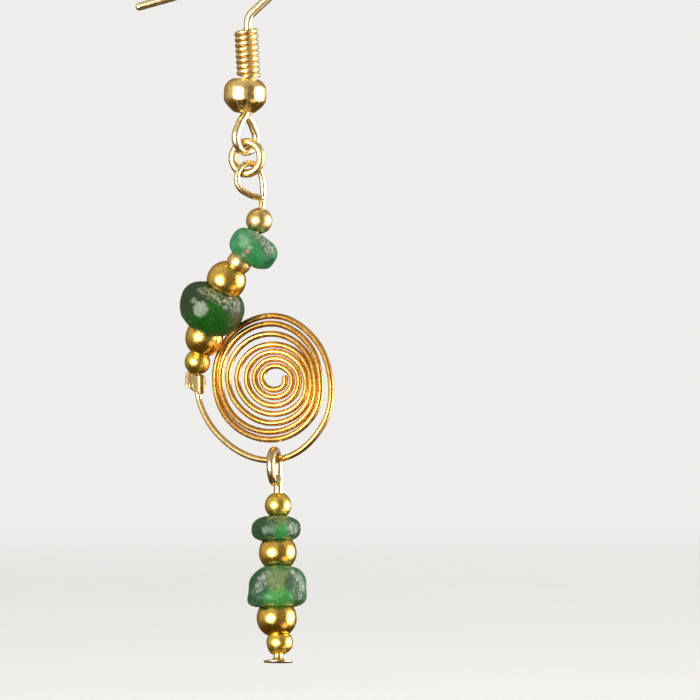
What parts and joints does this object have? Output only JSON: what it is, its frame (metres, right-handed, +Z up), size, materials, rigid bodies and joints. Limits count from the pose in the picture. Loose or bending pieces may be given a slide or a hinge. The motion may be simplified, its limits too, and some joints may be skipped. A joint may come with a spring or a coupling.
{
  "type": "drop earring",
  "caption": "Drop earring: an ear wire with a jump ring, a string of gold and glass beads whose wire coils into a flat spiral, and a beaded head pin hanging from the spiral.",
  "frame": {"origin": "inner top of the ear wire's arch, where it rests in the ear's hole", "axes": "+X to the right seen from the front, +Y to the back, +Z up"},
  "size_m": [0.0185, 0.0091, 0.0675],
  "materials": {
    "hook_gold": "polished",
    "coil_gold": "polished",
    "ring_gold": "polished",
    "spiral_gold": "worn",
    "bead_gold": "polished",
    "crimp_gold": "pressed",
    "pin_gold": "worn",
    "glass_light": "frosted",
    "glass_dark": "frosted"
  },
  "bodies": {
    "hook": {"ear_hook": "hook_gold", "hook_coil": "coil_gold", "hook_ball": "bead_gold"},
    "ring": {"jump_ring": "ring_gold"},
    "drop": {"spiral_wire": "spiral_gold", "upper_gold_small_1": "bead_gold", "upper_glass_small": "glass_light", "upper_gold_small_2": "bead_gold", "upper_gold_large_1": "bead_gold", "upper_glass_large": "glass_dark", "upper_gold_large_2": "bead_gold", "upper_gold_small_3": "bead_gold", "crimp": "crimp_gold"},
    "dangle": {"head_pin": "pin_gold", "lower_gold_small_1": "bead_gold", "lower_glass_rondelle": "glass_dark", "lower_gold_medium": "bead_gold", "lower_glass_chunk": "glass_light", "lower_gold_large": "bead_gold", "lower_gold_small_2": "bead_gold"}
  },
  "joints": [
    {"name": "ring_swing", "type": "hinge", "parent": "hook", "child": "ring", "pos_m": [0.00072, 0, -0.02029], "axis": [0.7071, 0.7071, 0], "range_deg": [-45, 45]},
    {"name": "drop_swing", "type": "hinge", "parent": "ring", "child": "drop", "pos_m": [0.0008, 0, -0.02227], "axis": [0.9164, -0.4003, 0], "range_deg": [-40, 30]},
    {"name": "dangle_swing", "type": "hinge", "parent": "drop", "child": "dangle", "pos_m": [0.00336, -0.00198, -0.04827], "axis": [0.9744, -0.225, 0], "range_deg": [-80, 70]}
  ]
}
